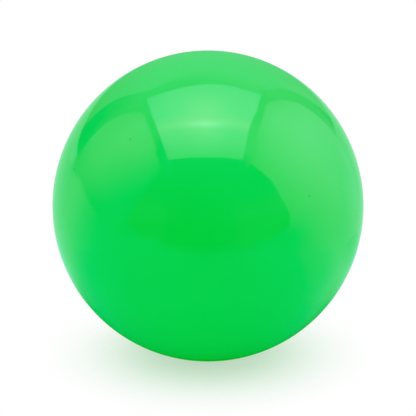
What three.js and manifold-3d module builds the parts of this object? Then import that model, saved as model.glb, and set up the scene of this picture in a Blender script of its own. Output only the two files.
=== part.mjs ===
// A smooth rubber playground ball of the 8.5 inch size, with a needle valve.
//
// Millimetres, +Z up. The origin is the middle of the flat patch that the ball rests on, and the
// front of the ball looks along -Y. The wall has three layers: a cover vulcanised from two half
// shells, a nylon winding and an air-holding bladder. The valve points to the back and a little
// down, and the joint between the cover halves lies square to it, so that both are out of sight
// from the front.

import * as THREE from 'three';
import { mergeVertices } from 'three/addons/utils/BufferGeometryUtils.js';
import Module from 'manifold-3d';

// ---- Driving dimensions ----

const BALL_DIAMETER = 216;
const REST_PATCH_DIAMETER = 24;
const VALVE_TILT_DEG = 15;
const FIT_GAP = 0.3;

const COVER_THICKNESS = 1.3;
const WINDING_THICKNESS = 0.4;
const BLADDER_THICKNESS = 0.7;
const SEAM_LAP = 8;

const VALVE_RING_DIAMETER = 16;
const VALVE_RING_HEIGHT = 0.4;
const VALVE_PATCH_DIAMETER = 44;
const VALVE_PATCH_THICKNESS = 0.8;

const NECK_DIAMETER = 9;
const NECK_RECESS = 0.3;
const FLANGE_DIAMETER = 30;
const FLANGE_THICKNESS = 1.2;
const STEM_DIAMETER = 10;
const STEM_END_WALL = 1.8;
const AIR_OUTLET_DIAMETER = 3;

const CORE_HEAD_DIAMETER = 6.2;
const CORE_HEAD_THICKNESS = 1.6;
const CORE_SHANK_DIAMETER = 4.4;
const CORE_SHANK_LENGTH = 9;
const CORE_BULB_DIAMETER = 5.8;
const CORE_BULB_LENGTH = 5;
const NEEDLE_CHANNEL_DIAMETER = 1.8;
const SLIT_LENGTH = 2;

// How finely the round shapes are cut into facets
const BALL_FACETS = 36;
const BALL_RINGS = 24;
const VALVE_FACETS = 32;

// ---- Sizes that follow ----

const BALL_RADIUS = BALL_DIAMETER / 2;
const REST_HEIGHT = Math.sqrt(BALL_RADIUS ** 2 - (REST_PATCH_DIAMETER / 2) ** 2);
const PRESS_DEPTH = BALL_RADIUS - REST_HEIGHT;
const VALVE_TILT = THREE.MathUtils.degToRad(VALVE_TILT_DEG);

// Radius of each spherical face, from the outside in
const COVER_INNER = BALL_RADIUS - COVER_THICKNESS;
const WINDING_OUTER = COVER_INNER - FIT_GAP;
const WINDING_INNER = WINDING_OUTER - WINDING_THICKNESS;
const BLADDER_OUTER = WINDING_INNER - FIT_GAP;
const BLADDER_INNER = BLADDER_OUTER - BLADDER_THICKNESS;
const PATCH_OUTER = BLADDER_INNER - FIT_GAP;
const PATCH_INNER = PATCH_OUTER - VALVE_PATCH_THICKNESS;
const FLANGE_OUTER = PATCH_INNER - FIT_GAP;
const FLANGE_INNER = FLANGE_OUTER - FLANGE_THICKNESS;

// The cover halves meet in a lap joint. Each keeps half of the wall there, less the gap.
const REBATE_RADIUS = BALL_RADIUS - (COVER_THICKNESS - FIT_GAP) / 2;
const LIP_RADIUS = REBATE_RADIUS - FIT_GAP;

// Heights along the valve axis, from the neck's outer end down through the stem
const RING_FACE = BALL_RADIUS + VALVE_RING_HEIGHT;
const NECK_HOLE_RADIUS = NECK_DIAMETER / 2 + FIT_GAP;
const NECK_TOP = Math.sqrt(RING_FACE ** 2 - NECK_HOLE_RADIUS ** 2) - NECK_RECESS;
const HEAD_UNDERSIDE = NECK_TOP - CORE_HEAD_THICKNESS;
const BULB_TOP = HEAD_UNDERSIDE - CORE_SHANK_LENGTH;
const BULB_END = BULB_TOP - CORE_BULB_LENGTH;
const CHANNEL_END = BULB_END + SLIT_LENGTH;
const STEM_END = BULB_END - FIT_GAP - STEM_END_WALL;

// ---- Solids ----

const wasm = await Module();
wasm.setup();

// A closed solid from a geometry. Points that coincide become one, and triangles that shrink to
// a line at a pole are left out.
function toSolid(geometry) {
	geometry.deleteAttribute('normal');
	geometry.deleteAttribute('uv');
	const merged = mergeVertices(geometry);
	const corners = merged.index.array;
	const triangles = [];
	for (let i = 0; i < corners.length; i += 3) {
		const [a, b, c] = corners.slice(i, i + 3);
		if (a !== b && b !== c && c !== a) {
			triangles.push(a, b, c);
		}
	}
	return new wasm.Manifold(new wasm.Mesh({
		numProp: 3,
		vertProperties: merged.attributes.position.array,
		triVerts: Uint32Array.from(triangles),
	}));
}

function toGeometry(solid) {
	const mesh = solid.getMesh();
	const geometry = new THREE.BufferGeometry();
	geometry.setAttribute('position', new THREE.BufferAttribute(mesh.vertProperties, 3));
	geometry.setIndex(new THREE.BufferAttribute(mesh.triVerts, 1));
	geometry.computeVertexNormals();
	return geometry;
}

// ---- Shapes of the wall, about the ball's centre ----

// A ball with its underside pressed flat. Every layer is pressed in by the same depth, so it
// keeps its thickness over the rest patch, and has its rings at the same angles, so that the
// facets of neighbouring layers are parallel and the gap between them is even.
function pressedBall(radius) {
	const floor = radius - PRESS_DEPTH;
	const pressEdge = Math.acos(floor / radius);
	const profile = [new THREE.Vector2(0, -floor)];
	const addRing = (angle) => {
		profile.push(new THREE.Vector2(radius * Math.sin(angle), -radius * Math.cos(angle)));
	};
	addRing(pressEdge);
	for (let ring = 1; ring <= BALL_RINGS; ring++) {
		const angle = ring * Math.PI / BALL_RINGS;
		if (angle > pressEdge) {
			addRing(angle);
		}
	}
	const ball = new THREE.LatheGeometry(profile, BALL_FACETS);
	return toSolid(ball.rotateX(Math.PI / 2));
}

function shell(outerRadius, innerRadius) {
	return pressedBall(outerRadius).subtract(pressedBall(innerRadius));
}

// ---- Shapes turned about the valve axis, which points outwards through the valve ----

// A profile holds points of (distance from the axis, height along it from the ball's centre).
function turned(points) {
	const profile = points.map(([offAxis, height]) => new THREE.Vector2(offAxis, height));
	const shape = new THREE.LatheGeometry(profile, VALVE_FACETS);
	return shape.rotateX(-VALVE_TILT);
}

function rod(radius, from, to) {
	return toSolid(turned([[0, from], [radius, from], [radius, to], [0, to]]));
}

// Everything on the valve's side of a plane square to the valve axis, and all that isn't.
function behind(height) {
	return rod(BALL_DIAMETER, height, BALL_DIAMETER);
}

function before(height) {
	return rod(BALL_DIAMETER, -BALL_DIAMETER, height);
}

// The part of a shell that lies within a radius of the valve axis.
function curvedDisc(outerRadius, innerRadius, discRadius) {
	return shell(outerRadius, innerRadius).intersect(rod(discRadius, 0, BALL_DIAMETER));
}

function neckHole() {
	return rod(NECK_HOLE_RADIUS, 0, BALL_DIAMETER);
}

// ---- Materials ----

const glossGreenRubber = { color: 0x00d247, roughness: 0.12, metalness: 0 };
const blackButyl = { color: 0x1c1d1f, roughness: 0.6, metalness: 0 };
const nylonYarn = { color: 0xd9d6c8, roughness: 0.8, metalness: 0 };
const greyRubber = { color: 0x3a3c40, roughness: 0.55, metalness: 0 };
const darkRubber = { color: 0x26272a, roughness: 0.45, metalness: 0 };

function piece(name, geometry, finish) {
	const mesh = new THREE.Mesh(geometry, new THREE.MeshStandardMaterial(finish));
	mesh.name = name;
	return mesh;
}

// ---- Pieces ----

// The half that faces the front. Its lip reaches under the rear half.
function frontCoverHalf() {
	const wall = shell(BALL_RADIUS, COVER_INNER).intersect(before(SEAM_LAP));
	const overLip = shell(RING_FACE, LIP_RADIUS).intersect(behind(-FIT_GAP / 2));
	return piece('front_cover_half', toGeometry(wall.subtract(overLip)), glossGreenRubber);
}

// The half that the ball rests on, rebated over the front half's lip. It carries the valve hole
// and the low ring moulded round it.
function rearCoverHalf() {
	const wall = shell(BALL_RADIUS, COVER_INNER).intersect(behind(FIT_GAP / 2));
	const rebate = pressedBall(REBATE_RADIUS).intersect(before(SEAM_LAP + FIT_GAP));
	const ring = curvedDisc(RING_FACE, REBATE_RADIUS, VALVE_RING_DIAMETER / 2);
	const half = wall.subtract(rebate).add(ring).subtract(neckHole());
	return piece('rear_cover_half', toGeometry(half), glossGreenRubber);
}

// Nylon yarn wound round the bladder in every direction until it is one even layer.
function nylonWinding() {
	const layer = shell(WINDING_OUTER, WINDING_INNER).subtract(neckHole());
	return piece('nylon_winding', toGeometry(layer), nylonYarn);
}

function rubberBladder() {
	const layer = shell(BLADDER_OUTER, BLADDER_INNER).subtract(neckHole());
	return piece('rubber_bladder', toGeometry(layer), blackButyl);
}

// The disc bonded inside the bladder that stiffens it where the valve goes through.
function valvePatch() {
	const disc = curvedDisc(PATCH_OUTER, PATCH_INNER, VALVE_PATCH_DIAMETER / 2);
	return piece('valve_patch', toGeometry(disc.subtract(neckHole())), greyRubber);
}

// The valve's body: a neck out through the wall, a flange against the patch, and a stem into the
// air space. It is bored right through, with a seat for the core's head and a chamber for its
// bulb.
function valveHousing() {
	const seatRadius = CORE_HEAD_DIAMETER / 2 + FIT_GAP;
	const shankBore = CORE_SHANK_DIAMETER / 2 + FIT_GAP;
	const chamberRadius = CORE_BULB_DIAMETER / 2 + FIT_GAP;
	const outletRadius = AIR_OUTLET_DIAMETER / 2;
	const flangeMiddle = (FLANGE_OUTER + FLANGE_INNER) / 2;
	const flange = curvedDisc(FLANGE_OUTER, FLANGE_INNER, FLANGE_DIAMETER / 2);
	const stemAndNeck = toSolid(turned([
		[0, STEM_END],
		[STEM_DIAMETER / 2, STEM_END],
		[STEM_DIAMETER / 2, flangeMiddle],
		[NECK_DIAMETER / 2, flangeMiddle],
		[NECK_DIAMETER / 2, NECK_TOP],
		[0, NECK_TOP],
	]));
	const bore = toSolid(turned([
		[0, STEM_END - FIT_GAP],
		[outletRadius, STEM_END - FIT_GAP],
		[outletRadius, BULB_END - FIT_GAP],
		[chamberRadius, BULB_END - FIT_GAP],
		[chamberRadius, BULB_TOP + FIT_GAP],
		[shankBore, BULB_TOP + FIT_GAP],
		[shankBore, HEAD_UNDERSIDE - FIT_GAP],
		[seatRadius, HEAD_UNDERSIDE - FIT_GAP],
		[seatRadius, NECK_TOP + FIT_GAP],
		[0, NECK_TOP + FIT_GAP],
	]));
	const body = stemAndNeck.add(flange).subtract(bore);
	return piece('valve_housing', toGeometry(body), darkRubber);
}

// The plug that a pump needle goes through. Its channel ends in a slit that air pressure shuts.
function valveCore() {
	const headRadius = CORE_HEAD_DIAMETER / 2;
	const shankRadius = CORE_SHANK_DIAMETER / 2;
	const bulbRadius = CORE_BULB_DIAMETER / 2;
	const channelRadius = NEEDLE_CHANNEL_DIAMETER / 2;
	const plug = turned([
		[0, BULB_END],
		[bulbRadius, BULB_END],
		[bulbRadius, BULB_TOP],
		[shankRadius, BULB_TOP],
		[shankRadius, HEAD_UNDERSIDE],
		[headRadius, HEAD_UNDERSIDE],
		[headRadius, NECK_TOP],
		[channelRadius, NECK_TOP],
		[channelRadius, CHANNEL_END],
		[0, CHANNEL_END],
	]);
	return piece('valve_core', plug, greyRubber);
}

// ---- Assembly ----

const ball = new THREE.Group();
ball.position.z = REST_HEIGHT;
ball.add(
	frontCoverHalf(),
	rearCoverHalf(),
	nylonWinding(),
	rubberBladder(),
	valvePatch(),
	valveHousing(),
	valveCore(),
);

export default ball;
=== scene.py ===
"""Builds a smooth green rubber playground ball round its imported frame: the two gloss cover halves,
the nylon winding, the bladder and the needle valve, and a light tent to look at them in."""

import math

import bpy
import numpy as np
from bpy.props import FloatProperty, FloatVectorProperty, PointerProperty
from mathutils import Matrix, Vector


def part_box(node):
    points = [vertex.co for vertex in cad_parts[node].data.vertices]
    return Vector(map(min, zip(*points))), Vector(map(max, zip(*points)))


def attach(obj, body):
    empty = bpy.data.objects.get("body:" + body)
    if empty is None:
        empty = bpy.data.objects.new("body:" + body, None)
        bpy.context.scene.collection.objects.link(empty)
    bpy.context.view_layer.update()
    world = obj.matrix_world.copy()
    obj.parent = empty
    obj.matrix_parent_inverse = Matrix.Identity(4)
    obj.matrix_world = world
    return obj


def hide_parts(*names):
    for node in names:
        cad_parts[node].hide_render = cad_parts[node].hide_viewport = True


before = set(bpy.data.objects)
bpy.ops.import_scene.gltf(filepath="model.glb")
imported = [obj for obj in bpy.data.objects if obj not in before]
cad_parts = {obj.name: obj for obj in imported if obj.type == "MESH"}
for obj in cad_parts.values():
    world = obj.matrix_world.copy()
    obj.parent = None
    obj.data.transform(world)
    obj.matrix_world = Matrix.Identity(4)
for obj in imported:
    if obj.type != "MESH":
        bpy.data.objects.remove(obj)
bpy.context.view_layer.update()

bl_info = {
    "name": "Playground Ball",
    "version": (1, 0, 0),
    "blender": (4, 5, 0),
    "location": "3D View > Sidebar > Ball",
    "description": "Builds the covers, winding, bladder and needle valve of a rubber playground ball",
    "category": "Add Mesh",
}

# ---- What the frame says ----

front_low, front_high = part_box("front_cover_half")
rear_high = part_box("rear_cover_half")[1]
winding_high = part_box("nylon_winding")[1]
bladder_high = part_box("rubber_bladder")[1]
patch_low, patch_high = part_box("valve_patch")
housing_low, housing_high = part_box("valve_housing")
core_low, core_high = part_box("valve_core")

BALL_RADIUS = (rear_high.y - front_low.y) / 2
CENTRE = Vector((0, 0, front_high.z - BALL_RADIUS))
WINDING_OUTER = winding_high.z - CENTRE.z
BLADDER_OUTER = bladder_high.z - CENTRE.z

# The valve axis points outwards through the valve. The other two are square to it.
VALVE_AXIS = ((core_low + core_high) / 2 - CENTRE).normalized()
ACROSS = Vector((1, 0, 0))
UPRIGHT = VALVE_AXIS.cross(ACROSS)

BODY = "root"

# ---- How finely the shapes are divided ----

BALL_SEGMENTS = 288
VALVE_SEGMENTS = 96
OUTER_STEP = math.radians(0.75)
INNER_STEP = math.radians(2.5)
ROUND_STEPS = 5
SHARP_ANGLE = math.radians(40)

# A rounded corner takes up at most this share of each edge beside it.
CORNER_SHARE = 0.45


def length_property(name, description, default):
    return FloatProperty(name=name, description=description, default=default, min=0, unit="LENGTH")


def colour_property(name, description, default):
    return FloatVectorProperty(
        name=name, description=description, default=default, min=0, max=1, size=3, subtype="COLOR"
    )


def level_property(name, description, default):
    return FloatProperty(name=name, description=description, default=default, min=0)


class BallSizes(bpy.types.PropertyGroup):
    """The wall of the ball, from the outside in."""

    fit_gap: length_property("Fit gap", "Space between pieces that touch", 0.0003)
    seam_lap: length_property("Seam lap", "How far the front half reaches under the rear half", 0.008)
    winding_wall: length_property("Winding", "Thickness of the nylon winding", 0.0004)
    bladder_wall: length_property("Bladder", "Thickness of the rubber bladder", 0.0007)
    patch_wall: length_property("Valve patch", "Thickness of the disc inside the bladder", 0.0008)
    edge_round: length_property("Edge round", "Radius on the moulded edges", 0.00022)
    press_round: length_property("Press round", "How softly the rest patch runs out", 0.0001)


class ValveSizes(bpy.types.PropertyGroup):
    """The needle valve."""

    ring_diameter: length_property("Ring", "The low ring moulded round the valve", 0.016)
    ring_height: length_property("Ring height", "How far the ring stands proud", 0.0004)
    neck_diameter: length_property("Neck", "The part of the housing seen from outside", 0.009)
    neck_recess: length_property("Neck recess", "How deep the neck's face lies in the ring", 0.0003)
    flange_wall: length_property("Flange", "Thickness of the flange on the patch", 0.0012)
    stem_diameter: length_property("Stem", "The stem that reaches into the air space", 0.01)
    stem_end_wall: length_property("Stem end", "Wall that closes the stem round its outlet", 0.0018)
    outlet_diameter: length_property("Outlet", "Hole that lets the air through", 0.003)
    head_thickness: length_property("Core head", "Thickness of the core's head", 0.0016)
    shank_diameter: length_property("Core shank", "Diameter of the core's shank", 0.0044)
    shank_length: length_property("Shank length", "Length of the core's shank", 0.009)
    bulb_diameter: length_property("Core bulb", "Diameter of the bulb that holds the core", 0.0058)
    bulb_length: length_property("Bulb length", "Length of the bulb", 0.005)
    channel_diameter: length_property("Needle channel", "Hole that the pump needle follows", 0.0018)
    slit_length: length_property("Slit", "Solid end that the needle parts", 0.002)
    mouth_diameter: length_property("Channel mouth", "Width of the needle channel's funnel", 0.0032)
    mouth_depth: length_property("Mouth depth", "Depth of the needle channel's funnel", 0.0007)


class BallFinish(bpy.types.PropertyGroup):
    """Colours and gloss of the ball's materials."""

    green: colour_property("Cover", "Main colour of the cover", (0.0, 0.625, 0.048))
    deep_green: colour_property("Cover, deep", "Colour where the pigment lies thicker", (0.0, 0.607, 0.045))
    speck: colour_property("Speck", "Colour of the few grains in the rubber", (0.0, 0.26, 0.045))
    gloss_roughness: level_property("Gloss roughness", "Roughness of the polished cover", 0.065)
    yarn: colour_property("Yarn", "Colour of the nylon yarn", (0.69, 0.67, 0.58))
    butyl: colour_property("Bladder", "Colour of the bladder's rubber", (0.012, 0.012, 0.014))
    talc: colour_property("Talc", "Dust left on the bladder", (0.2, 0.2, 0.19))
    patch: colour_property("Valve patch", "Colour of the patch's rubber", (0.042, 0.045, 0.051))
    housing: colour_property("Valve housing", "Colour of the housing's rubber", (0.02, 0.02, 0.023))
    core: colour_property("Valve core", "Colour of the core's rubber", (0.042, 0.045, 0.051))


class StageSettings(bpy.types.PropertyGroup):
    """The light tent, floor and camera."""

    floor: colour_property("Floor", "Colour of the paper floor", (0.56, 0.56, 0.555))
    floor_glow: level_property("Floor glow", "Light that comes up through the paper", 0.45)
    sky_level: level_property("Tent light", "Even light from all round", 0.95)
    lamp_level: level_property("Overhead lamp", "Light of the overhead lamp on a level surface", 0.1)
    fill_level: level_property("Front lamp", "Light of the front lamp on the ball's front", 0.04)
    camera_distance: length_property("Camera distance", "From the lens to the ball's middle", 0.9)
    camera_rise: FloatProperty(
        name="Camera rise",
        description="How far above level the camera stands",
        default=math.radians(15),
        subtype="ANGLE",
    )
    ball_share: level_property("Ball in the frame", "Share of the frame's width that the ball fills", 0.748)
    ball_lift: level_property("Ball lift", "Height above the frame's middle, in ball radii", 0.013)


# ---- Shader maths ----


class Value:
    """A number inside a material. Arithmetic on it adds Math nodes."""

    def __init__(self, finish, socket):
        self.finish = finish
        self.socket = socket

    def maths(self, operation, *numbers):
        return self.finish.node("ShaderNodeMath", {"operation": operation}, dict(enumerate(numbers)))

    def __add__(self, other):
        return self.maths("ADD", self, other)

    def __radd__(self, other):
        return self.maths("ADD", other, self)

    def __sub__(self, other):
        return self.maths("SUBTRACT", self, other)

    def __rsub__(self, other):
        return self.maths("SUBTRACT", other, self)

    def __mul__(self, other):
        return self.maths("MULTIPLY", self, other)

    def __rmul__(self, other):
        return self.maths("MULTIPLY", other, self)

    def __truediv__(self, other):
        return self.maths("DIVIDE", self, other)

    def __rtruediv__(self, other):
        return self.maths("DIVIDE", other, self)

    def __pow__(self, other):
        return self.maths("POWER", self, other)

    def __abs__(self):
        return self.maths("ABSOLUTE", self)

    def above(self, edge):
        return self.maths("MAXIMUM", self, edge)

    def below(self, edge):
        return self.maths("MINIMUM", self, edge)

    def bell(self, middle, width):
        """1 at the middle, falling off smoothly on both sides."""
        steps = (self - middle) / width
        return self.maths("EXPONENT", -1 * steps * steps)

    def ramp(self, start, end):
        """0 up to start and 1 from end on, with a smooth rise between."""
        settings = {"interpolation_type": "SMOOTHSTEP"}
        return self.finish.node("ShaderNodeMapRange", settings, {0: self, 1: start, 2: end})

    def fall(self, start, end):
        """1 up to start and 0 from end on, with a smooth fall between."""
        return 1 - self.ramp(start, end)

    def wave(self, pitch):
        """Even ridges from 0 to 1, a pitch apart."""
        return self.maths("SINE", self * (2 * math.pi / pitch)) * 0.5 + 0.5


# A Mix node's sockets for colours: its two inputs and its output.
MIX_FIRST = 6
MIX_SECOND = 7
MIX_RESULT = 2


class Finish:
    """The nodes of a material or of the world, with the few ways of adding nodes that they need."""

    def __init__(self, owner, end="ShaderNodeOutputMaterial"):
        self.owner = owner
        owner.use_nodes = True
        self.tree = owner.node_tree
        self.tree.nodes.clear()
        self.end = self.tree.nodes.new(end)

    def node(self, kind, settings, inputs, output=0):
        """Adds a node. Its settings come first, then the values or links of its sockets."""
        made = self.tree.nodes.new(kind)
        for name, setting in settings.items():
            setattr(made, name, setting)
        for name, value in inputs.items():
            if isinstance(value, Value):
                self.tree.links.new(value.socket, made.inputs[name])
            else:
                made.inputs[name].default_value = value
        return Value(self, made.outputs[output])

    def surface(self, shader):
        self.tree.links.new(shader.socket, self.end.inputs["Surface"])
        return self.owner

    def seen(self):
        """1 for the rays that show a background: those of the camera, of gloss and of glass."""
        kinds = ("Is Camera Ray", "Is Glossy Ray", "Is Transmission Ray")
        camera, glossy, through = [self.node("ShaderNodeLightPath", {}, {}, kind) for kind in kinds]
        return (camera + glossy + through).below(1)

    def place(self):
        """Where a point lies, in metres in the ball's own frame."""
        return self.node("ShaderNodeTexCoord", {}, {}, "Object")

    def along(self, direction, start=(0, 0, 0)):
        """How far a point lies from start, measured along a direction."""
        offset = self.node("ShaderNodeVectorMath", {"operation": "SUBTRACT"}, {0: self.place(), 1: start})
        inputs = {0: offset, 1: direction}
        return self.node("ShaderNodeVectorMath", {"operation": "DOT_PRODUCT"}, inputs, "Value")

    def away(self, start):
        """How far a point lies from start."""
        inputs = {0: self.place(), 1: start}
        return self.node("ShaderNodeVectorMath", {"operation": "DISTANCE"}, inputs, "Value")

    def off_valve_axis(self):
        """How far a point lies from the valve axis."""
        across = self.along(ACROSS, CENTRE)
        upright = self.along(UPRIGHT, CENTRE)
        return (across * across + upright * upright) ** 0.5

    def noise(self, size, detail=2.0, distortion=0.0):
        """Cloudy variation from 0 to 1, with patches about as wide as size."""
        inputs = {"Vector": self.place(), "Scale": 1 / size, "Detail": detail, "Distortion": distortion}
        return self.node("ShaderNodeTexNoise", {}, inputs)

    def cells(self, size, output="Distance"):
        """The distance to scattered points that lie about size apart, as a share of size."""
        return self.node("ShaderNodeTexVoronoi", {}, {"Vector": self.place(), "Scale": 1 / size}, output)

    def blend(self, factor, first, second):
        """A colour that goes from first to second."""
        settings = {"data_type": "RGBA"}
        colours = {}
        for slot, colour in ((MIX_FIRST, first), (MIX_SECOND, second)):
            colours[slot] = colour if isinstance(colour, Value) else (*colour, 1)
        return self.node("ShaderNodeMix", settings, {0: factor, **colours}, MIX_RESULT)

    def bump(self, height, depth, onto=None):
        """The surface tilted by a height that goes from 0 to 1 over a depth in metres."""
        inputs = {"Height": height, "Distance": depth}
        if onto is not None:
            inputs["Normal"] = onto
        return self.node("ShaderNodeBump", {}, inputs)

    def principled(self, inputs):
        return self.surface(self.node("ShaderNodeBsdfPrincipled", {}, inputs))


# ---- Finishes of the ball ----

# The larger specks of undispersed pigment in the cover, as directions from the ball's middle. A speck
# is full out to its core and gone at its edge.
SPECKS = (
    (-0.812, -0.464, 0.354), (0.593, -0.761, 0.263), (-0.455, -0.673, 0.583), (0.917, -0.397, 0.042),
    (0.757, -0.501, -0.419),
)
SPECK_CORE = 0.0004
SPECK_EDGE = 0.0011

# The directions in which the yarn's turns follow each other.
YARN_LAYS = ((1, 0.2, 0.1), (0.1, 1, 0.3), (0.2, -0.3, 1), (0.7, 0.7, -0.2), (-0.6, 0.3, 0.7))


def gloss_green_rubber(finish):
    """Polished moulded rubber. It is even, with a slight waviness that bends what it mirrors."""
    speck_strength = 0.55
    speck_dullness = 0.2
    smear_dullness = 0.03
    grain_spacing = 0.021
    cover = Finish(bpy.data.materials.new("gloss_green_rubber"))
    cloud = cover.noise(size=0.07, detail=3).ramp(0.3, 0.7)
    pigment = cover.blend(cloud, finish.green, finish.deep_green)
    grain_kept = cover.cells(grain_spacing, "Color").ramp(0.62, 0.64)
    grain = cover.cells(grain_spacing).fall(0.012, 0.026) * grain_kept
    for direction in SPECKS:
        place = CENTRE + BALL_RADIUS * Vector(direction).normalized()
        grain = grain.above(cover.away(place).fall(SPECK_CORE, SPECK_EDGE))
    smear = cover.noise(size=0.03, detail=4, distortion=1.5).ramp(0.52, 0.8)
    waves = cover.bump(cover.noise(size=0.045, detail=1), depth=0.00012)
    peel = cover.bump(cover.noise(size=0.0016, detail=1), depth=0.000002, onto=waves)
    return cover.principled({
        "Base Color": cover.blend(grain * speck_strength, pigment, finish.speck),
        "Roughness": finish.gloss_roughness + smear * smear_dullness + grain * speck_dullness,
        "Normal": cover.bump(1 - grain, depth=0.00001, onto=peel),
        "IOR": 1.5,
    })


def nylon_yarn(finish):
    """Fine yarn laid in many directions. Each turn shows as a thread beside its neighbours, with
    painted shade in the grooves between the threads.
    """
    thread = 0.0006
    # Painted shade: the yarn is darker in the grooves between its threads.
    shade_between_threads = [0.72 * part for part in finish.yarn]
    deep_roughness = 0.62
    ridge_dullness = 0.12
    yarn = Finish(bpy.data.materials.new("nylon_yarn"))
    turns = None
    for lay in YARN_LAYS:
        ridge = yarn.along(Vector(lay).normalized()).wave(thread)
        shown = yarn.noise(size=0.03 + 0.01 * lay[0]).ramp(0.45, 0.55)
        turns = ridge if turns is None else turns * (1 - shown) + ridge * shown
    return yarn.principled({
        "Base Color": yarn.blend(turns, shade_between_threads, finish.yarn),
        "Roughness": deep_roughness + turns * ridge_dullness,
        "Normal": yarn.bump(turns, depth=0.00012),
        "Sheen Weight": 0.25,
    })


def talced_butyl(finish):
    """Matt black bladder rubber with a thin dusting of talc."""
    dust_cover = 0.45
    bare_roughness = 0.58
    dust_dullness = 0.25
    butyl = Finish(bpy.data.materials.new("talced_butyl"))
    dust = butyl.noise(size=0.018, detail=6, distortion=0.6).ramp(0.5, 0.78)
    grain = butyl.noise(size=0.0009, detail=3)
    return butyl.principled({
        "Base Color": butyl.blend(dust * dust_cover, finish.butyl, finish.talc),
        "Roughness": bare_roughness + dust * dust_dullness,
        "Normal": butyl.bump(grain, depth=0.00003),
    })


def moulded_rubber(name, colour, roughness):
    """Dark moulded rubber: turned rings from the tool, a fine grain and paler rubbed places."""
    rubbed_colour = [1.8 * part + 0.01 for part in colour]
    rubbed_strength = 0.5
    rubbed_dullness = 0.12
    rubber = Finish(bpy.data.materials.new(name))
    rubbed = rubber.noise(size=0.004, detail=4).ramp(0.55, 0.8)
    rings = rubber.off_valve_axis().wave(pitch=0.0005)
    grain = rubber.bump(rubber.noise(size=0.0004), depth=0.00001)
    return rubber.principled({
        "Base Color": rubber.blend(rubbed * rubbed_strength, colour, rubbed_colour),
        "Roughness": roughness + rubbed * rubbed_dullness,
        "Normal": rubber.bump(rings, depth=0.000006, onto=grain),
    })


# ---- Shapes turned about the valve axis ----


def arc(radius, start, end, step):
    """Points of a sphere's section. Angles are measured from the valve axis."""
    steps = max(1, round(abs(end - start) / step))
    angles = np.linspace(start, end, steps + 1)
    return [(radius * math.sin(angle), radius * math.cos(angle), 0) for angle in angles]


def height_on(radius, off_axis):
    """How high along the valve axis a sphere stands at a distance off the axis."""
    return math.sqrt(radius ** 2 - off_axis ** 2)


def rounded(points, closed):
    """A profile with its corners rounded. A point is (off the axis, height, corner radius)."""
    shaped = []
    count = len(points)
    for index, (off_axis, height, corner_radius) in enumerate(points):
        corner = np.array((off_axis, height))
        if corner_radius == 0 or (not closed and index in (0, count - 1)):
            shaped.append(corner)
            continue
        before = np.array(points[index - 1][:2]) - corner
        after = np.array(points[(index + 1) % count][:2]) - corner
        before_length = np.linalg.norm(before)
        after_length = np.linalg.norm(after)
        half_angle = math.acos(np.clip(before @ after / before_length / after_length, -1, 1)) / 2
        most = CORNER_SHARE * min(before_length, after_length)
        run = min(corner_radius / math.tan(half_angle), most)
        start = corner + before * run / before_length
        end = corner + after * run / after_length
        for share in np.linspace(0, 1, ROUND_STEPS + 1):
            shaped.append((1 - share) ** 2 * start + 2 * share * (1 - share) * corner + share ** 2 * end)
    return np.array(shaped)


def pressed(points, radii, press_round):
    """Points with the underside pressed flat. Each layer is pressed in by the same depth."""
    floors = BALL_RADIUS - radii
    above = points[:, 2] - floors
    points[:, 2] = floors + (above + np.sqrt(above ** 2 + press_round ** 2)) / 2
    return points


def turned(name, points, segments, press_round=0.0, closed=True):
    """A piece turned about the valve axis. An open profile starts and ends on the axis."""
    profile = rounded(points, closed)
    rims = profile if closed else profile[1:-1]
    angles = np.arange(segments) * 2 * math.pi / segments
    spokes = np.outer(np.cos(angles), ACROSS) + np.outer(np.sin(angles), UPRIGHT)
    rings = rims[:, None, :1] * spokes[None] + rims[:, None, 1:] * np.array(VALVE_AXIS)
    places = rings.reshape(-1, 3)
    if not closed:
        places = np.vstack([places, np.outer(profile[[0, -1], 1], VALVE_AXIS)])
    radii = np.linalg.norm(places, axis=1)
    places = places + np.array(CENTRE)
    if press_round:
        places = pressed(places, radii, press_round)

    faces = []
    ring_count = len(rims)
    for ring in range(ring_count if closed else ring_count - 1):
        this = ring * segments
        following = (ring + 1) % ring_count * segments
        for spoke in range(segments):
            beside = (spoke + 1) % segments
            faces.append((this + spoke, following + spoke, following + beside, this + beside))
    if not closed:
        start_pole = ring_count * segments
        last = (ring_count - 1) * segments
        for spoke in range(segments):
            beside = (spoke + 1) % segments
            faces.append((start_pole, spoke, beside))
            faces.append((start_pole + 1, last + beside, last + spoke))
    return solid(name, places, faces)


def solid(name, places, faces):
    """An object from points and faces, shaded smooth but for its sharp edges."""
    mesh = bpy.data.meshes.new(name)
    mesh.from_pydata([tuple(place) for place in places], [], faces)
    mesh.update()
    volume = sum(
        mesh.vertices[face.vertices[0]].co.dot(face.normal) * face.area for face in mesh.polygons
    )
    if volume < 0:
        mesh.flip_normals()
    mesh.polygons.foreach_set("use_smooth", [True] * len(mesh.polygons))
    mesh.set_sharp_from_angle(angle=SHARP_ANGLE)
    piece = bpy.data.objects.new(name, mesh)
    bpy.context.scene.collection.objects.link(piece)
    return piece


def fit(piece, node, material):
    """Puts a piece in place of its node, with its finish."""
    piece.data.materials.append(material)
    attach(piece, BODY)
    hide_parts(node)


# ---- Pieces ----


class Wall:
    """Radii of the wall's faces, from the outside in, and of the lap joint between the halves."""

    def __init__(self, sizes):
        gap = sizes.fit_gap
        self.cover_inner = WINDING_OUTER + gap
        self.winding_inner = WINDING_OUTER - sizes.winding_wall
        self.bladder_inner = BLADDER_OUTER - sizes.bladder_wall
        self.patch_outer = self.bladder_inner - gap
        self.patch_inner = self.patch_outer - sizes.patch_wall
        cover_wall = BALL_RADIUS - self.cover_inner
        self.rebate = BALL_RADIUS - (cover_wall - gap) / 2
        self.lip = self.rebate - gap


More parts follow.
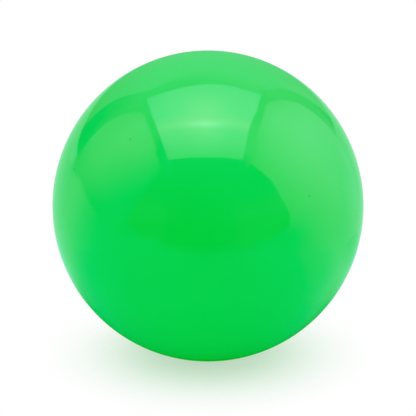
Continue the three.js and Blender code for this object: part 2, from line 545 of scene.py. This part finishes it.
class Valve:
    """Radii of the valve's parts and heights along its axis, from the neck's face inwards."""

    def __init__(self, sizes, valve_sizes):
        gap = sizes.fit_gap
        wall = Wall(sizes)
        self.hole = valve_sizes.neck_diameter / 2 + gap
        self.ring_face = BALL_RADIUS + valve_sizes.ring_height
        self.neck_top = height_on(self.ring_face, self.hole) - valve_sizes.neck_recess
        self.flange_outer = wall.patch_inner - gap
        self.flange_inner = self.flange_outer - valve_sizes.flange_wall
        self.head_under = self.neck_top - valve_sizes.head_thickness
        self.bulb_top = self.head_under - valve_sizes.shank_length
        self.bulb_end = self.bulb_top - valve_sizes.bulb_length
        self.channel_end = self.bulb_end + valve_sizes.slit_length
        self.stem_end = self.bulb_end - gap - valve_sizes.stem_end_wall
        self.head = (core_high.x - core_low.x) / 2
        self.flange = (housing_high.x - housing_low.x) / 2


def front_cover(sizes):
    """The half that faces the front, with the lip that reaches under the rear half."""
    wall = Wall(sizes)
    edge = sizes.edge_round
    seam = -sizes.fit_gap / 2
    lap = sizes.seam_lap
    points = [
        *arc(BALL_RADIUS, math.pi, math.acos(seam / BALL_RADIUS), OUTER_STEP)[:-1],
        (height_on(BALL_RADIUS, seam), seam, edge),
        (height_on(wall.lip, seam), seam, 0),
        *arc(wall.lip, math.acos(seam / wall.lip), math.acos(lap / wall.lip), INNER_STEP)[1:-1],
        (height_on(wall.lip, lap), lap, edge),
        (height_on(wall.cover_inner, lap), lap, 0),
        *arc(wall.cover_inner, math.acos(lap / wall.cover_inner), math.pi, INNER_STEP)[1:],
    ]
    return turned("front_cover", points, BALL_SEGMENTS, closed=False)


def rear_cover(sizes, valve_sizes):
    """The half that the ball rests on, with the ring round the valve."""
    wall = Wall(sizes)
    valve = Valve(sizes, valve_sizes)
    edge = sizes.edge_round
    seam = sizes.fit_gap / 2
    lap = sizes.seam_lap + sizes.fit_gap
    ring = valve_sizes.ring_diameter / 2
    foot = math.asin(ring / BALL_RADIUS)
    crown = math.asin(ring / valve.ring_face)
    points = [
        (height_on(BALL_RADIUS, seam), seam, edge),
        *arc(BALL_RADIUS, math.acos(seam / BALL_RADIUS), foot, OUTER_STEP)[1:-1],
        (ring, height_on(BALL_RADIUS, ring), edge),
        (ring, height_on(valve.ring_face, ring), edge),
        *arc(valve.ring_face, crown, math.asin(valve.hole / valve.ring_face), OUTER_STEP / 2)[1:-1],
        (valve.hole, height_on(valve.ring_face, valve.hole), edge),
        (valve.hole, height_on(wall.cover_inner, valve.hole), 0),
        *arc(
            wall.cover_inner,
            math.asin(valve.hole / wall.cover_inner),
            math.acos(lap / wall.cover_inner),
            INNER_STEP,
        )[1:],
        *arc(wall.rebate, math.acos(lap / wall.rebate), math.acos(seam / wall.rebate), INNER_STEP),
    ]
    return turned("rear_cover", points, BALL_SEGMENTS, sizes.press_round)


def layer(name, outer, inner, hole, press_round):
    """A hidden layer of the wall, with the hole that the valve's neck goes through. It is divided
    half as finely as the cover."""
    points = [
        *arc(outer, math.pi, math.asin(hole / outer), OUTER_STEP * 2),
        *arc(inner, math.asin(hole / inner), math.pi, INNER_STEP),
    ]
    return turned(name, points, BALL_SEGMENTS // 2, press_round, closed=False)


def curved_disc(name, outer, inner, disc, hole, edge):
    """A disc that follows the ball's wall, with a hole in its middle."""
    points = [
        (hole, height_on(outer, hole), edge),
        *arc(outer, math.asin(hole / outer), math.asin(disc / outer), OUTER_STEP)[1:-1],
        (disc, height_on(outer, disc), edge),
        (disc, height_on(inner, disc), edge),
        *arc(inner, math.asin(disc / inner), math.asin(hole / inner), OUTER_STEP)[1:-1],
        (hole, height_on(inner, hole), edge),
    ]
    return turned(name, points, VALVE_SEGMENTS)


def valve_body(sizes, valve_sizes):
    """The housing: neck, flange and stem, bored right through for the core."""
    valve = Valve(sizes, valve_sizes)
    gap = sizes.fit_gap
    edge = sizes.edge_round
    neck = valve_sizes.neck_diameter / 2
    stem = valve_sizes.stem_diameter / 2
    outlet = valve_sizes.outlet_diameter / 2
    shank_bore = valve_sizes.shank_diameter / 2 + gap
    chamber = valve_sizes.bulb_diameter / 2 + gap
    seat = valve.head + gap
    outer, inner = valve.flange_outer, valve.flange_inner
    points = [
        (seat, valve.neck_top, edge),
        (neck, valve.neck_top, edge),
        (neck, height_on(outer, neck), edge),
        *arc(outer, math.asin(neck / outer), math.asin(valve.flange / outer), OUTER_STEP)[1:-1],
        (valve.flange, height_on(outer, valve.flange), edge),
        (valve.flange, height_on(inner, valve.flange), edge),
        *arc(inner, math.asin(valve.flange / inner), math.asin(stem / inner), OUTER_STEP)[1:-1],
        (stem, height_on(inner, stem), edge),
        (stem, valve.stem_end, edge * 2),
        (outlet, valve.stem_end, edge),
        (outlet, valve.bulb_end - gap, edge),
        (chamber, valve.bulb_end - gap, edge),
        (chamber, valve.bulb_top + gap, edge),
        (shank_bore, valve.bulb_top + gap, edge),
        (shank_bore, valve.head_under - gap, edge),
        (seat, valve.head_under - gap, edge),
    ]
    return turned("valve_body", points, VALVE_SEGMENTS)


def valve_plug(sizes, valve_sizes):
    """The core: a head with the needle's funnel, a shank, and the bulb that holds it in."""
    valve = Valve(sizes, valve_sizes)
    edge = sizes.edge_round
    shank = valve_sizes.shank_diameter / 2
    bulb = valve_sizes.bulb_diameter / 2
    channel = valve_sizes.channel_diameter / 2
    mouth = valve_sizes.mouth_diameter / 2
    points = [
        (0, valve.bulb_end, 0),
        (bulb, valve.bulb_end, edge * 4),
        (bulb, valve.bulb_top, edge * 2),
        (shank, valve.bulb_top, edge),
        (shank, valve.head_under, edge),
        (valve.head, valve.head_under, edge),
        (valve.head, valve.neck_top, edge),
        (mouth, valve.neck_top, edge),
        (channel, valve.neck_top - valve_sizes.mouth_depth, edge),
        (channel, valve.channel_end, edge),
        (0, valve.channel_end, 0),
    ]
    return turned("valve_plug", points, VALVE_SEGMENTS, closed=False)


class BALL_OT_covers(bpy.types.Operator):
    """Make the two gloss cover halves"""

    bl_idname = "ball.covers"
    bl_label = "Cover Halves"

    def execute(self, context):
        scene = context.scene
        rubber = gloss_green_rubber(scene.ball_finish)
        fit(front_cover(scene.ball_sizes), "front_cover_half", rubber)
        fit(rear_cover(scene.ball_sizes, scene.valve_sizes), "rear_cover_half", rubber)
        return {"FINISHED"}


class BALL_OT_winding(bpy.types.Operator):
    """Make the nylon winding round the bladder"""

    bl_idname = "ball.winding"
    bl_label = "Nylon Winding"

    def execute(self, context):
        scene = context.scene
        sizes = scene.ball_sizes
        hole = Valve(sizes, scene.valve_sizes).hole
        wall = Wall(sizes)
        winding = layer("yarn_layer", WINDING_OUTER, wall.winding_inner, hole, sizes.press_round)
        fit(winding, "nylon_winding", nylon_yarn(scene.ball_finish))
        return {"FINISHED"}


class BALL_OT_bladder(bpy.types.Operator):
    """Make the bladder that holds the air"""

    bl_idname = "ball.bladder"
    bl_label = "Rubber Bladder"

    def execute(self, context):
        scene = context.scene
        sizes = scene.ball_sizes
        hole = Valve(sizes, scene.valve_sizes).hole
        wall = Wall(sizes)
        bladder = layer("bladder_wall", BLADDER_OUTER, wall.bladder_inner, hole, sizes.press_round)
        fit(bladder, "rubber_bladder", talced_butyl(scene.ball_finish))
        return {"FINISHED"}


class BALL_OT_valve(bpy.types.Operator):
    """Make the valve's patch, housing and core"""

    bl_idname = "ball.valve"
    bl_label = "Needle Valve"

    def execute(self, context):
        scene = context.scene
        sizes = scene.ball_sizes
        finish = scene.ball_finish
        wall = Wall(sizes)
        hole = Valve(sizes, scene.valve_sizes).hole
        disc = (patch_high.x - patch_low.x) / 2
        edge = sizes.edge_round
        rubber = moulded_rubber("patch_rubber", finish.patch, roughness=0.55)
        patch = curved_disc("patch_disc", wall.patch_outer, wall.patch_inner, disc, hole, edge)
        fit(patch, "valve_patch", rubber)
        rubber = moulded_rubber("valve_rubber", finish.housing, roughness=0.42)
        fit(valve_body(sizes, scene.valve_sizes), "valve_housing", rubber)
        rubber = moulded_rubber("core_rubber", finish.core, roughness=0.45)
        fit(valve_plug(sizes, scene.valve_sizes), "valve_core", rubber)
        return {"FINISHED"}


# ---- Stage ----

X, Y, Z = range(3)
AXES = ((1, 0, 0), (0, 1, 0), (0, 0, 1))
WHITE = (1, 1, 1, 1)
BLACK = (0, 0, 0, 1)

# The tent's faces, in ball radii from the ball's middle: x to the right, y away, z up. The floor's
# paper rises at the back, just in front of the back panel.
CLOTH_SIDE = 2.95
CLOTH_TOP = 5.0
CLOTH_BACK = 2.1
PANEL_SIDE = 2.8
PANEL_TOP = 4.55
PANEL_BACK = 2.0
OPENING = -4.75
OPENING_SIDE = 2.93
FLOOR = -CENTRE.z / BALL_RADIUS
PAPER_RISE = 0.85
PAPER_BACK = 1.99

# Outlines of the panels: (x, y) overhead, (y, z) at the sides and (x, z) at the back.
TOP_OUTLINE = (
    (-2.7, 1.35), (-2.2, 1.2), (-1.5, 1.05), (-0.8, 1.02), (0, 1.07), (1.1, 1.12), (1.6, 1.12),
    (2.25, 1.33), (2.23, -0.3), (2.15, -1), (2.13, -1.8), (2.21, -2.5), (2.34, -3.1), (2.5, -4.25),
    (-0.15, -4.3), (-2.88, -4.15), (-2.74, -3.2), (-2.66, -1.5), (-2.66, -0.7),
)
LEFT_OUTLINE = (
    (-3.6, 3.45), (-2.85, 3.62), (-2, 4), (-1.05, 4.12), (0, 4.12), (0.32, 3.98), (0.76, 3.1),
    (0.94, 2.3), (0.97, 0.8), (1.3, 0.87), (2, 1), (2, FLOOR), (OPENING, FLOOR), (OPENING, -0.9),
    (-3.2, -0.5), (-2.3, 0.05), (-2.85, 1), (-3.3, 1.95), (-3.6, 2.4),
)
RIGHT_OUTLINE = (
    (-4.05, 4.2), (-3.45, 4.4), (-2.5, 4.57), (-1, 4.73), (0.5, 4.85), (1, 4.75), (1.6, 3.9),
    (1.8, 3.3), (2, 2.7), (2, FLOOR), (OPENING, FLOOR), (OPENING, -0.9), (-3.4, -0.62),
    (-2.55, -0.32), (-2.24, -0.1), (-2.2, 0.3), (-2.5, 1), (-2.8, 1.95), (-3.4, 3),
)
BACK_OUTLINE = (
    (-2.45, PAPER_RISE), (-2.42, 2.4), (-2.52, 3.5), (-2.48, 4.5), (2.33, 4.5), (2.32, 4.1),
    (2.15, 3.4), (2, 2.7), (1.95, PAPER_RISE),
)
RISE_OUTLINE = (
    (-CLOTH_SIDE, FLOOR), (CLOTH_SIDE, FLOOR), (CLOTH_SIDE, 1.13), (2.65, 1.02), (2.35, 0.97),
    (2.1, 0.9), (1.6, 0.87), (1.2, PAPER_RISE), (-0.8, PAPER_RISE), (-1.5, 1), (-2.2, 1.08),
    (-2.5, 1.03), (-CLOTH_SIDE, 1),
)
LEFT_OPENING = (
    (OPENING, FLOOR), (-2, FLOOR), (-2, 1), (-2.7, 3.5), (-2.7, CLOTH_TOP), (OPENING, CLOTH_TOP),
)
RIGHT_OPENING = ((OPENING, FLOOR), (-2, FLOOR), (-2, 1), (-3.2, 3.3), (-3.7, 4.2), (OPENING, 4.2))

# The colour of a panel's light. Its blue is its brightness, and its green is a share of that on top
# of a base. Its red is a share of the brightness less what the ball's deep green takes, and a least
# part of the brightness is always left to it.
RED_SHARE = 0.85
LEAST_RED = 0.05
GREEN_SHARE = 0.8
GREEN_BASE = 0.42

# The floor's sheet lies just below the ball. It keeps the shadow out to the first distance from the
# ball's foot, and is white from the second on.
FLOOR_REACH = 8.0
FLOOR_SEGMENTS = 96
FLOOR_DROP = 0.0001
SHADOW_KEPT = 0.035
SHADOW_GONE = 0.13
PAPER_SHADE = 0.985

# Where the two lamps hang and how wide they are, in metres.
OVERHEAD_PLACE = (0, -0.2, 1.6)
OVERHEAD_WIDTH = 1.2
FRONT_PLACE = (0, -1.7, 0.6)
FRONT_WIDTH = 1.0


def rectangle(low, high):
    return (low, (high[0], low[1]), high, (low[0], high[1]))


def panel(name, axis, at, outline, glow):
    """A flat panel square to an axis, that only the gloss mirrors. Its glow is a painted reflection:
    it lights nothing and shows only in the ball's gloss. The outline gives its corners' other two
    distances, in ball radii from the ball's middle. From a place's three distances in the same unit,
    glow gives its brightness and how much of its red the deep green of the ball takes."""
    finish = Finish(bpy.data.materials.new(name))
    x, y, z = [finish.along(direction, CENTRE) / BALL_RADIUS for direction in AXES]
    level, red_loss = glow(x, y, z)
    colour = finish.node("ShaderNodeCombineColor", {}, {
        "Red": (level - red_loss).above(level * LEAST_RED) * RED_SHARE,
        "Green": level * GREEN_SHARE + GREEN_BASE,
        "Blue": level,
    })
    finish.principled({
        "Base Color": BLACK,
        "Roughness": 1,
        "Specular IOR Level": 0,
        "Emission Color": colour,
        "Emission Strength": 1,
    })
    # Painted reflection: the panel sends no light to any surface, it only shows in the gloss.
    finish.owner.cycles.emission_sampling = "NONE"
    corners = [Vector((*point[:axis], at, *point[axis:])) for point in outline]
    sheet = flat_sheet(name, [CENTRE + BALL_RADIUS * corner for corner in corners], finish.owner)
    sheet.visible_camera = False
    sheet.visible_diffuse = False
    sheet.visible_transmission = False
    sheet.visible_shadow = False


def flat_sheet(name, points, material):
    """One flat face of the stage."""
    mesh = bpy.data.meshes.new(name)
    mesh.from_pydata(points, [], [range(len(points))])
    mesh.materials.append(material)
    sheet = bpy.data.objects.new(name, mesh)
    bpy.context.scene.collection.objects.link(sheet)
    return sheet


def top_glow(x, y, z):
    """The panel overhead, brightest round the lamp's tube, which shows as a thin line."""
    wide = 2.1 + 2 * y.bell(-1.3, 2.25)
    middle = 0.95 * y.bell(-1.9, 1.7) * x.bell(0, 1.1)
    tube = (y - 0.06 * x * x).bell(-1.73, 0.22) * (0.35 + 2.15 * x.bell(-0.12, 0.85))
    left_end = 0.35 * x.fall(-2.8, -1.2) * y.ramp(-2.6, -1.2)
    left_corner = 0.35 * x.fall(-2.7, -2.2) * y.bell(-2.8, 1)
    level = wide + middle + tube - left_end - left_corner
    white_middle = 0.85 * y.bell(-1.4, 1.15) * x.bell(-0.2, 0.9)
    white_ends = (0.65 * y.bell(-1.5, 0.38) - 0.3 * y.bell(-0.6, 0.5)) * (x * x).ramp(0.2, 1.2)
    green_right = 0.2 * y.bell(-2.2, 0.4) * x.ramp(0, 0.8)
    return level, 1.15 - white_middle - white_ends + green_right


def left_glow(x, y, z):
    """The left panel. A fold runs along it only as painted shade above its line and painted light
    below it, and the panel is dimmer and greener towards the opening.
    """
    front_corner = (y + 0.55 * z).fall(-2.63, -1.63) * z.ramp(-0.65, -0.15)
    low = (0.85 + 0.2 * y.bell(-0.2, 1.6)) * (1 - 0.4 * front_corner)
    high = 1.27 * y.bell(-0.95, 2.35) * z.ramp(0, 3.7)
    high = high * (1 - 0.55 * y.ramp(-0.6, 0.8)) * (1 - 0.12 * z.ramp(3.2, 4.2))
    back_dip = 0.25 * y.ramp(0, 1) * z.bell(1.1, 0.5)
    back_end = 0.22 * y.ramp(1.05, 1.3) * z.ramp(0.5, 0.62)
    over_fold = z + 0.46 * (0.15 - y).above(0) - 0.52
    folded = over_fold.ramp(-0.07, 0.07)
    # Painted shade above the fold's line, and painted light below it.
    shade = 0.3 * folded * over_fold.fall(0, 1) * y.ramp(-1.6, -0.6) * y.fall(0.95, 1.15)
    under_fold = 0.13 * (1 - folded) * y.ramp(-0.5, 0.1) * y.fall(0.3, 0.9) * z.ramp(-0.7, -0.1)
    level = low + high - back_dip + back_end - shade + under_fold
    green_front = 0.65 * (y + 0.65 * z).ramp(-1.45, 0.75)
    green_top = 0.25 * z.ramp(2.2, 3.4) * y.bell(-0.9, 1)
    return level, 1 - green_front + green_top


def right_glow(x, y, z):
    """The right panel, brightest high up towards the front and greener along its foot."""
    low = 0.75 + 0.55 * y.bell(-0.6, 1.6)
    raised = (z - 0.4 * y.above(0)).ramp(-0.8, 2.2)
    high = 1.56 * y.bell(-0.9, 2.9) * raised * (1 - 0.22 * z.ramp(3.4, 4.6))
    high = high + 0.17 * y.bell(0.4, 0.9) * z.ramp(0.8, 2.4)
    back_middle = 0.2 * y.bell(0.95, 0.5) * z.bell(-0.08, 0.5)
    front_dip = 0.25 * y.bell(-2.3, 0.8) * z.bell(1.3, 1.2)
    back_end = 0.2 * y.ramp(1, 1.6) * z.fall(0.7, 1.2) * z.ramp(-0.9, -0.2)
    level = low + high + back_middle - front_dip + back_end
    green = 0.45 + 0.14 * z.ramp(0.5, 2) - 0.3 * y.ramp(0.3, 2) - 0.1 * y.fall(-3, -2)
    green_front = 0.55 * z.fall(-0.5, 0.5) * y.fall(-2, -0.3)
    green_foot = 0.24 * y.bell(-0.75, 0.55) * z.fall(-0.95, -0.5)
    return level, green + green_front + green_foot + back_end


def back_glow(x, y, z):
    """The back panel, brightest at its top and a little brighter to the right."""
    upwards = 1.08 * z.ramp(0.5, 4.1)
    right = 0.04 * x.above(0) + 0.12 * x.ramp(1.3, 1.8) * z.fall(2, 3)
    return 0.28 + upwards + right, 0.12 + 0.36 * z.ramp(1, 3.6)


def paper_glow(x, y, z):
    """A painted reflection of the floor's paper where it rises at the back. It is lighter towards the
    lit sides.
    """
    return 0.45 + 0.13 * abs(x), 0.08 * abs(x)


def cloth_glow(x, y, z):
    """The unlit cloth between the panels, with painted light: it is no lamp, yet glows with what it
    would send back. Overhead it catches more light.
    """
    right = x.ramp(0, 2)
    by_left_panel = 0.16 * x.fall(-2.9, -2.6) * y.fall(1.1, 1.8)
    right_tip = 0.24 * x.ramp(2.2, 2.7) * z.fall(1.2, 1.9)
    level = 0.22 * z.above(1.3) + 0.2 * right * z.ramp(0.8, 1.8) + by_left_panel + right_tip
    loss = 0.43 * (1 - right) + (0.1 + 0.07 * z) * right
    overhead = z.ramp(4.1, 4.5)
    ends = 0.25 * y.ramp(0.3, 1.3) + 0.6 * y.fall(-4.6, -3.4)
    left_corner = 0.65 * x.fall(-2.7, -2.2) * y.fall(-2.9, -1.7)
    right_corner = 0.33 * x.ramp(2.1, 2.7) * y.ramp(-1.5, -0.5)
    top_level = 1.6 + 0.06 * x - ends - left_corner - right_corner
    top_loss = 1.02 - 0.03 * x - 0.31 * y.ramp(-4.4, -2.4) - 0.17 * y.ramp(0.5, 1.2)
    return level + (top_level - level) * overhead, loss + (top_loss - loss) * overhead


def opening_glow(x, y, z):
    """A painted reflection of the dim room in front. It gets lighter upwards and to the right, and
    sends back little red.
    """
    right = 0.3 * x.ramp(-0.5, 2.5) * z.fall(1, 4.5)
    left = 0.24 * x.fall(-3, -2) * z.fall(0.5, 3)
    left_top = 0.3 * x.fall(-2.9, -2.4) * z.ramp(2.8, 4.2)
    right_tip = 0.22 * x.ramp(2.5, 2.9) * y.ramp(-3.8, -2.7) * z.ramp(0.2, 1)
    level = 0.215 * z.above(0) + right + left + left_top + right_tip
    red_kept = 0.04 + 0.18 * (x * x).ramp(1, 3.5) * z.fall(0.8, 1.8)
    return level, level * (1 - red_kept)


def floor_glow(x, y, z):
    """The floor as the gloss mirrors it, with a painted shadow of the ball: darkest round the ball's
    foot and lighter to the right.
    """
    off_foot = (x * x + y * y) ** 0.5 - 0.4 * y.ramp(-0.3, 0.4)
    rightwards = 0.22 + 0.06 * y.bell(-0.2, 0.7) - 0.15 * y.ramp(0, 1.2)
    across = 0.55 + rightwards * x.above(0) - 0.14 * x.below(0)
    inwards = 0.4 + 0.6 * y.ramp(-4.7, -3)
    # Painted shadow of the ball: the floor's glow is dimmest round the ball's foot.
    level = off_foot.ramp(0.2, 1.5) * across * inwards
    red_beside = 0.6 * (y + 0.5 * x.ramp(-1, 1)).ramp(-0.45, 1) * (x * x).ramp(0.7, 1.5)
    red_behind = 0.25 * (y + 0.85 * x).ramp(0.3, 0.9)
    red_by_panels = (0.08 + 0.01 * x) * y.bell(-0.35, 0.45) * (x * x).ramp(3, 6)
    return level, level * (1 - red_beside.above(red_behind) - red_by_panels)


def add_tent():
    """The light tent as painted reflections that only the gloss mirrors: lit panels, the unlit cloth
    between them, the dim opening in front, and the floor with a painted shadow of the ball.
    """
    side, top, back, front = CLOTH_SIDE, CLOTH_TOP, CLOTH_BACK, OPENING
    panel("cloth_top", Z, top, rectangle((-side, front), (side, back)), cloth_glow)
    panel("cloth_back", Y, back, rectangle((-side, FLOOR), (side, top)), cloth_glow)
    panel("cloth_left", X, -side, rectangle((front, FLOOR), (back, top)), cloth_glow)
    panel("cloth_right", X, side, rectangle((front, FLOOR), (back, top)), cloth_glow)
    panel("opening", Y, front, rectangle((-side, FLOOR), (side, top)), opening_glow)
    panel("opening_left", X, -OPENING_SIDE, LEFT_OPENING, opening_glow)
    panel("opening_right", X, OPENING_SIDE, RIGHT_OPENING, opening_glow)
    panel("floor_seen_in_gloss", Z, FLOOR, rectangle((-side, front), (side, back)), floor_glow)
    panel("paper_rise", Y, PAPER_BACK, RISE_OUTLINE, paper_glow)
    panel("top_panel", Z, PANEL_TOP, TOP_OUTLINE, top_glow)
    panel("left_panel", X, -PANEL_SIDE, LEFT_OUTLINE, left_glow)
    panel("right_panel", X, PANEL_SIDE, RIGHT_OUTLINE, right_glow)
    panel("back_panel", Y, PANEL_BACK, BACK_OUTLINE, back_glow)


def add_floor(stage):
    """Pale paper. Close to the ball it keeps the ball's shadow, and further off it turns white."""
    finish = Finish(bpy.data.materials.new("paper_floor"))
    far = finish.away((0, 0, 0)).ramp(SHADOW_KEPT, SHADOW_GONE)
    shaded = [PAPER_SHADE * part for part in stage.floor]
    paper = finish.node("ShaderNodeBsdfPrincipled", {}, {
        "Base Color": finish.blend(finish.noise(size=0.002, detail=4), stage.floor, shaded),
        "Roughness": 0.9,
        "Specular IOR Level": 0.1,
        "Emission Color": WHITE,
        "Emission Strength": stage.floor_glow,
    })
    white = finish.node("ShaderNodeEmission", {}, {"Color": WHITE})
    finish.surface(finish.node("ShaderNodeMixShader", {}, {0: far * finish.seen(), 1: paper, 2: white}))
    turns = np.linspace(0, 2 * math.pi, FLOOR_SEGMENTS, endpoint=False)
    rim = [(FLOOR_REACH * math.cos(turn), FLOOR_REACH * math.sin(turn), -FLOOR_DROP) for turn in turns]
    flat_sheet("paper_floor", rim, finish.owner)


def add_lamp(name, place, width, level):
    """A broad soft lamp that faces the ball. The gloss mirrors the tent's panels instead of it."""
    light = bpy.data.lights.new(name, "AREA")
    light.shape = "SQUARE"
    light.size = width
    away = Vector(place) - CENTRE
    # With this energy a white surface that faces the lamp at the ball shows at the level.
    light.energy = level * (math.pi * away.length) ** 2
    lamp = bpy.data.objects.new(name, light)
    lamp.location = place
    lamp.rotation_mode = "QUATERNION"
    lamp.rotation_quaternion = away.to_track_quat("Z", "Y")
    lamp.visible_glossy = False
    lamp.visible_camera = False
    bpy.context.scene.collection.objects.link(lamp)


def add_light(stage):
    """Even white light from all round, an overhead lamp for the shadow, and a weak one in front."""
    world = bpy.data.worlds.new("tent_light")
    sky = Finish(world, "ShaderNodeOutputWorld")
    even = sky.node("ShaderNodeBackground", {}, {"Color": WHITE, "Strength": stage.sky_level})
    white = sky.node("ShaderNodeBackground", {}, {"Color": WHITE})
    sky.surface(sky.node("ShaderNodeMixShader", {}, {0: sky.seen(), 1: even, 2: white}))
    bpy.context.scene.world = world
    add_lamp("overhead_lamp", OVERHEAD_PLACE, OVERHEAD_WIDTH, stage.lamp_level)
    add_lamp("front_lamp", FRONT_PLACE, FRONT_WIDTH, stage.fill_level)


def add_camera(stage):
    """A camera in front of the ball, a little above it."""
    right = Vector((1, 0, 0))
    back = Vector((0, -math.cos(stage.camera_rise), math.sin(stage.camera_rise)))
    up = back.cross(right)
    camera = bpy.data.cameras.new("camera")
    half_view = math.asin(BALL_RADIUS / stage.camera_distance)
    camera.lens = camera.sensor_width * stage.ball_share / 2 / math.tan(half_view)
    viewer = bpy.data.objects.new("camera", camera)
    viewer.location = CENTRE + back * stage.camera_distance - up * BALL_RADIUS * stage.ball_lift
    viewer.rotation_mode = "QUATERNION"
    viewer.rotation_quaternion = back.to_track_quat("Z", "Y")
    bpy.context.scene.collection.objects.link(viewer)
    bpy.context.scene.camera = viewer


class BALL_OT_stage(bpy.types.Operator):
    """Set up the light tent, floor and camera"""

    bl_idname = "ball.stage"
    bl_label = "Light Tent"

    def execute(self, context):
        stage = context.scene.ball_stage
        add_floor(stage)
        add_light(stage)
        add_tent()
        add_camera(stage)
        context.scene.view_settings.view_transform = "Standard"
        return {"FINISHED"}


class BALL_PT_builder(bpy.types.Panel):
    """Lists the steps that build the ball"""

    bl_label = "Playground Ball"
    bl_space_type = "VIEW_3D"
    bl_region_type = "UI"
    bl_category = "Ball"

    def draw(self, context):
        for operator in OPERATORS:
            self.layout.operator(operator.bl_idname)
        for name, group in SETTINGS.items():
            box = self.layout.box()
            for setting in group.__annotations__:
                box.prop(getattr(context.scene, name), setting)


OPERATORS = (BALL_OT_covers, BALL_OT_winding, BALL_OT_bladder, BALL_OT_valve, BALL_OT_stage)
SETTINGS = {
    "ball_sizes": BallSizes,
    "valve_sizes": ValveSizes,
    "ball_finish": BallFinish,
    "ball_stage": StageSettings,
}


def register():
    for kind in (*SETTINGS.values(), *OPERATORS, BALL_PT_builder):
        bpy.utils.register_class(kind)
    for name, group in SETTINGS.items():
        setattr(bpy.types.Scene, name, PointerProperty(type=group))


def unregister():
    for name in SETTINGS:
        delattr(bpy.types.Scene, name)
    for kind in reversed((*SETTINGS.values(), *OPERATORS, BALL_PT_builder)):
        bpy.utils.unregister_class(kind)


def main():
    """Builds the ball and its stage."""
    register()
    bpy.ops.ball.covers()
    bpy.ops.ball.winding()
    bpy.ops.ball.bladder()
    bpy.ops.ball.valve()
    bpy.ops.ball.stage()


if __name__ == "__main__":
    main()
